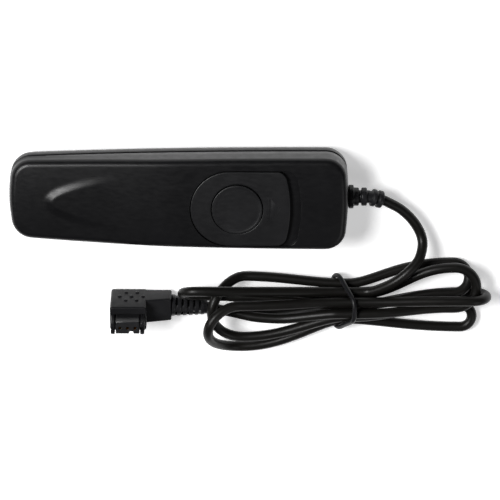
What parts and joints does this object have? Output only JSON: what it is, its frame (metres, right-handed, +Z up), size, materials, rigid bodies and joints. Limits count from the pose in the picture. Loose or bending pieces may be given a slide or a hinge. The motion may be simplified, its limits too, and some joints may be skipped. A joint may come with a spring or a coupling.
{
  "type": "cable shutter release",
  "caption": "Wired shutter release: a slim handset with a locking slide and a flush round button, a strain-relieved cable folded into a tied hank, and a right-angled camera plug.",
  "frame": {"origin": "bottom centre of the handset, on the surface it lies on", "axes": "+X along the handset towards its cable end, +Z up out of the face with the button; the hank and plug lie on the -Y side"},
  "size_m": [0.1426, 0.0657, 0.0177],
  "materials": {
    "case_top": "fine moulded grain, dark grey",
    "case_bottom": "smooth satin, dark grey",
    "slider_plastic": "fine moulded grain, dark grey",
    "button_plastic": "fine moulded grain, dark grey",
    "red_mark": "printed red mark",
    "inner_plastic": "natural moulded nylon",
    "screw_steel": "zinc-plated steel",
    "spring_steel": "drawn spring wire",
    "contact_brass": "rolled spring brass",
    "laminate": "paper laminate",
    "solder": "bright solder",
    "wire_red": "red wire insulation",
    "wire_white": "white wire insulation",
    "wire_yellow": "yellow wire insulation",
    "boot_rubber": "soft satin black",
    "cable_jacket": "glossy black jacket",
    "tie_plastic": "black, slightly glossy",
    "plug_plastic": "satin black",
    "block_plastic": "satin black",
    "socket_gold": "gold-plated brass"
  },
  "bodies": {
    "handset": {"upper_shell": "case_top", "lower_shell": "case_bottom", "lock_mark": "red_mark", "case_screws": "screw_steel", "contact_carrier": "inner_plastic", "contact_common": "contact_brass", "contact_focus": "contact_brass", "contact_release": "contact_brass", "contact_spacers": "laminate", "clamp_plate": "laminate", "carrier_screws": "screw_steel", "solder_joints": "solder", "wire_common": "wire_red", "wire_focus": "wire_white", "wire_release": "wire_yellow", "cable_end": "cable_jacket", "body_boot": "boot_rubber", "cable_lead": "cable_jacket", "cable_hank": "cable_jacket", "cable_tail": "cable_jacket", "hank_tie": "tie_plastic", "plug_boot": "boot_rubber", "plug_housing": "plug_plastic", "plug_contact_block": "block_plastic", "plug_sockets": "socket_gold", "plug_latches": "plug_plastic"},
    "slider": {"lock_slider": "slider_plastic", "slider_retainer": "inner_plastic", "button_spring": "spring_steel"},
    "button": {"release_button": "button_plastic"}
  },
  "joints": [
    {"name": "lock_slide", "type": "slide", "parent": "handset", "child": "slider", "axis": [1, 0, 0], "range_m": [0, 0.0028]},
    {"name": "button_press", "type": "slide", "parent": "slider", "child": "button", "axis": [0, 0, -1], "range_m": [0, 0.0018], "stiffness_N_per_m": 600, "springref_m": -0.001, "deforming": ["button_spring"]}
  ]
}
